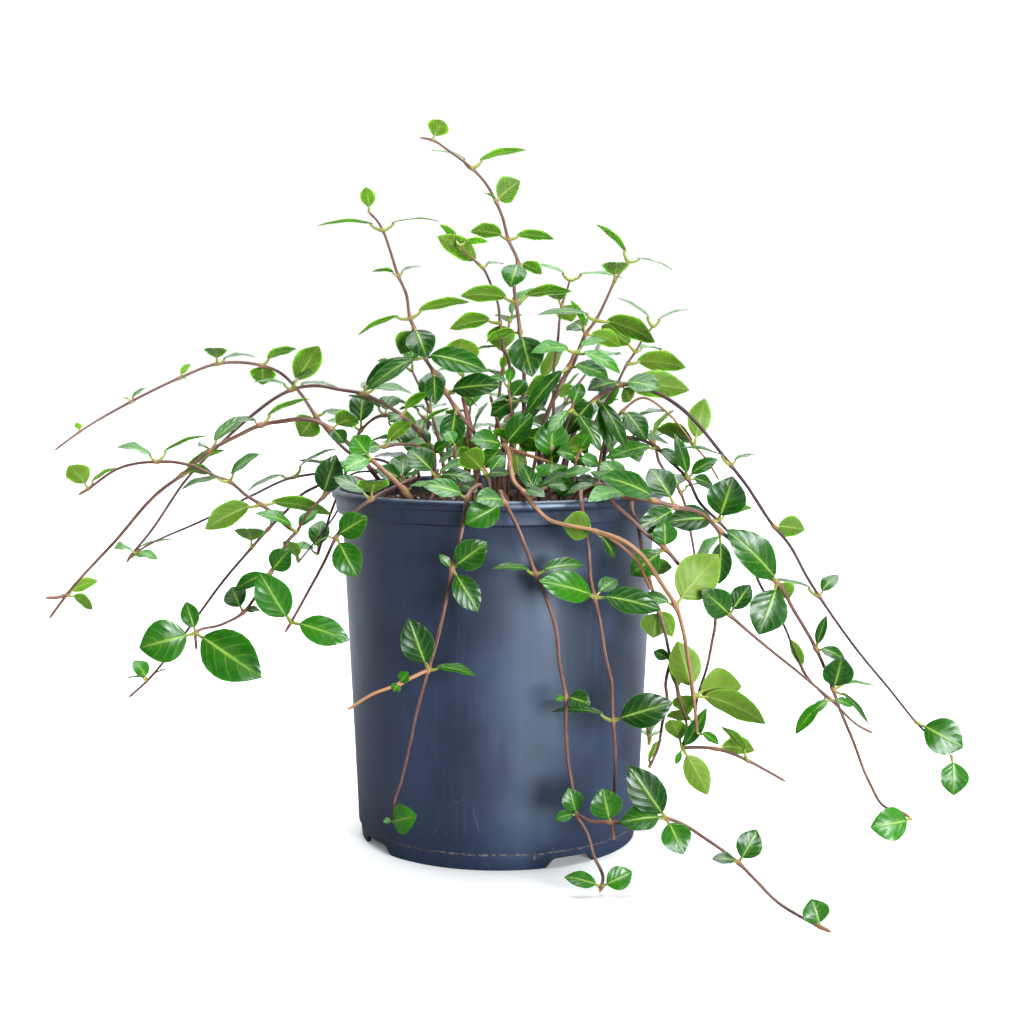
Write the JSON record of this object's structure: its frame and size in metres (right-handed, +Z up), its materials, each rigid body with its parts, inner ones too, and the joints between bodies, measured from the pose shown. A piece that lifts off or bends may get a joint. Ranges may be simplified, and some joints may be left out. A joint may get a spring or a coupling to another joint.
{
  "type": "potted vining plant",
  "caption": "Low vining plant with glossy oval leaves on thin arching brown runners that spill over the rim of a round dark nursery pot.",
  "frame": {"origin": "on the pot's axis, in the plane of the surface that the pot stands on; this is also the centre of the foot of the whole plant's bounding box, to within a few millimetres", "axes": "+Z up along the pot's axis; -Y towards the viewer of the picture, where the long stem bends over the rim; +X to the viewer's right"},
  "size_m": [0.4544, 0.3222, 0.358],
  "materials": {
    "pot": "satin",
    "soil": "matte",
    "foliage": "satin",
    "bark": "matte"
  },
  "bodies": {
    "root": {"pot": "pot", "runner_far_left": "foliage", "runner_far_left_long": "foliage", "runner_far_middle": "foliage", "runner_far_middle_low": "foliage", "runner_far_right": "foliage", "runner_far_right_long": "foliage", "runner_far_right_low": "foliage", "runner_front_left": "foliage", "runner_front_middle": "foliage", "runner_front_right": "foliage", "runner_front_thick": "foliage", "runner_left_arch": "foliage", "runner_left_behind": "foliage", "runner_left_drop": "foliage", "runner_left_fork": "foliage", "runner_left_high": "foliage", "runner_left_low": "foliage", "runner_left_pink": "foliage", "runner_left_thin": "foliage", "runner_right_front": "foliage", "runner_right_hang": "foliage", "runner_right_long": "foliage", "runner_right_mid": "foliage", "runner_right_sweep": "foliage", "runner_right_tan": "foliage", "shoot_back_left": "foliage", "shoot_back_low_left": "foliage", "shoot_back_low_middle": "foliage", "shoot_back_low_right": "foliage", "shoot_back_middle": "foliage", "shoot_back_right": "foliage", "shoot_back_tall": "foliage", "shoot_heart_back": "foliage", "shoot_heart_east": "foliage", "shoot_heart_left": "foliage", "shoot_heart_low": "foliage", "shoot_heart_mid": "foliage", "shoot_heart_pale": "foliage", "shoot_heart_right": "foliage", "shoot_heart_west": "foliage", "shoot_left_low": "foliage", "shoot_left_orange": "foliage", "shoot_middle_left": "foliage", "soil": "soil", "stem_right_back": "foliage", "stem_right_lean": "foliage", "stem_right_up": "foliage", "stem_top_left": "foliage", "stem_top_right": "foliage", "stem_top_second": "foliage", "stem_top_tall": "foliage", "stub_pale": "bark", "stub_red": "bark"}
  },
  "joints": []
}
